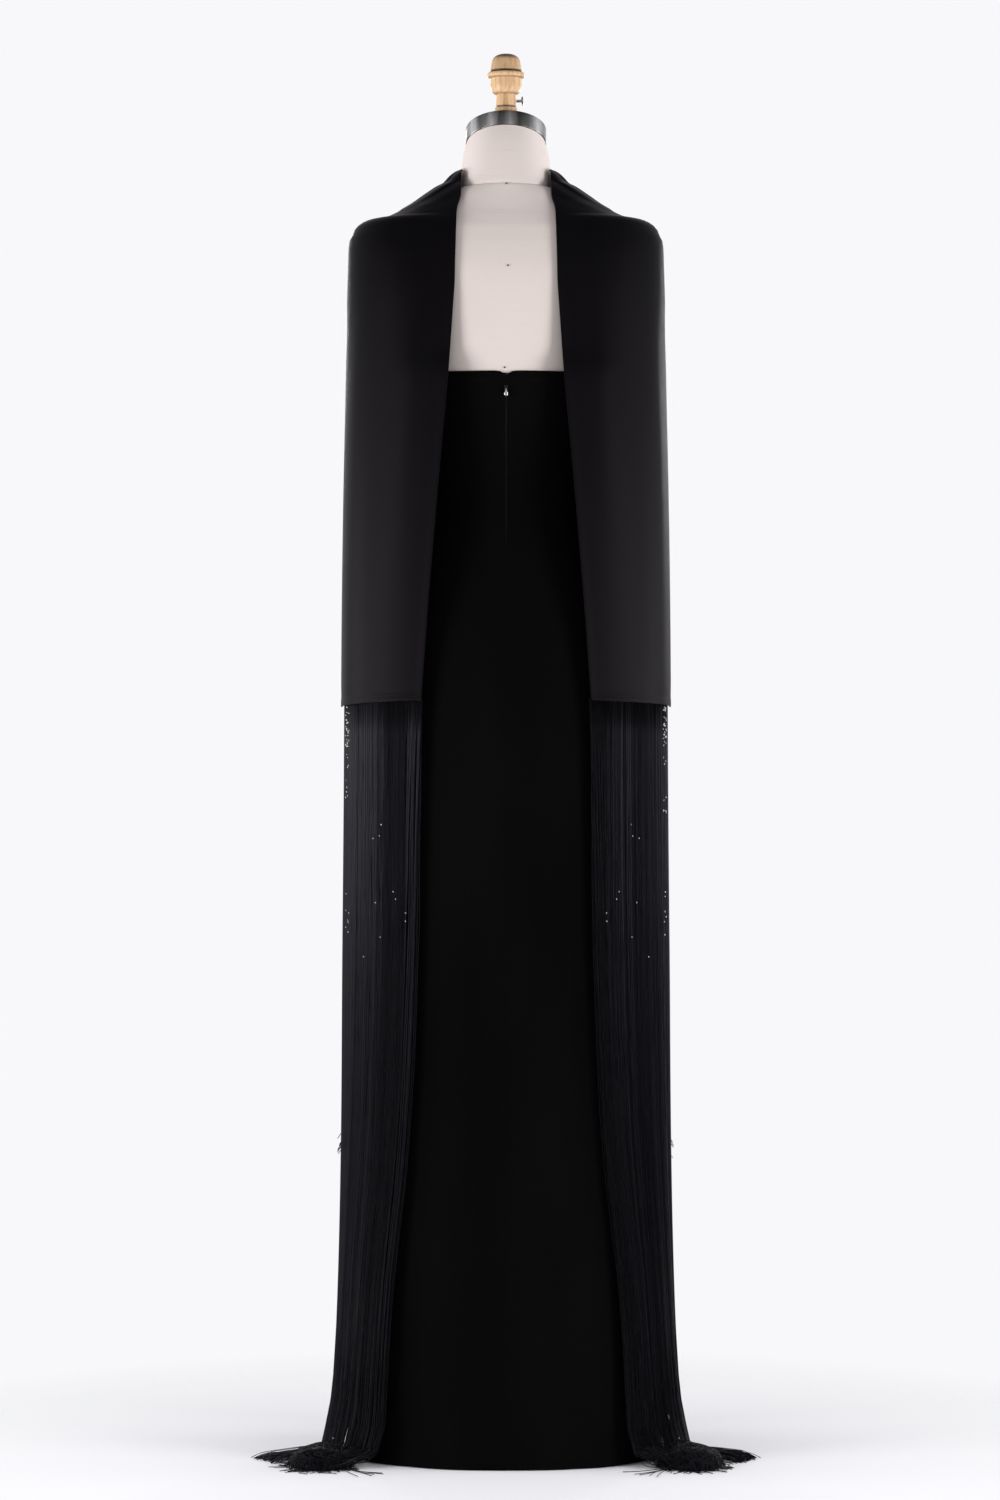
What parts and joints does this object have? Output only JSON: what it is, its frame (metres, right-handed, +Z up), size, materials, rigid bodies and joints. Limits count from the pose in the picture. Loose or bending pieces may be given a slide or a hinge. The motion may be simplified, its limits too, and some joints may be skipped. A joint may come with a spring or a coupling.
{
  "type": "evening gown with fringed stole on limbless dress form",
  "caption": "Strapless floor-length column gown with a sequinned front and a zipped crepe back, worn with a long fringed stole over the shoulders, on a linen dress form with its stand.",
  "frame": {"origin": "centre of the stand base's underside, on the floor below the pole", "axes": "+Z up along the pole; +Y is the way the wearer faces and -Y is the zipped back; +X is the wearer's right"},
  "size_m": [0.608, 0.3125, 1.7475],
  "materials": {
    "black_crepe": "matte crepe",
    "black_sequins": "small glossy sequins on net",
    "black_strands": "fine rayon strands, soft sheen",
    "cream_linen": "tight plain weave, matte",
    "bright_steel": "brushed",
    "turned_beech": "satin varnish",
    "black_enamel": "satin black"
  },
  "bodies": {
    "dressed_form": {"gown_front": "black_sequins", "gown_side_front_left": "black_sequins", "gown_side_front_right": "black_sequins", "gown_back_left": "black_crepe", "gown_back_right": "black_crepe", "zip_tape": "black_crepe", "zip_slider": "bright_steel", "hook_and_eye": "bright_steel", "stole_left": "black_crepe", "stole_right": "black_crepe", "stole_front": "black_crepe", "fringe_left": "black_strands", "fringe_right": "black_strands", "fringe_heap_left": "black_strands", "fringe_heap_right": "black_strands", "form_torso": "cream_linen", "form_neck": "cream_linen", "neck_plate": "bright_steel", "finial_stem": "turned_beech", "finial_cap": "turned_beech", "stand_pole": "black_enamel", "stand_base": "black_enamel"},
    "pull": {"zip_pull": "bright_steel"},
    "screw": {"thumb_screw": "bright_steel"}
  },
  "joints": [
    {"name": "pull_swing", "type": "hinge", "parent": "dressed_form", "child": "pull", "pos_m": [0, -0.10804, 1.3205], "axis": [-1, 0, 0], "range_deg": [0, 170]},
    {"name": "screw_turn", "type": "hinge", "parent": "dressed_form", "child": "screw", "pos_m": [0, 0, 1.6886], "axis": [1, 0, 0], "continuous": true}
  ]
}
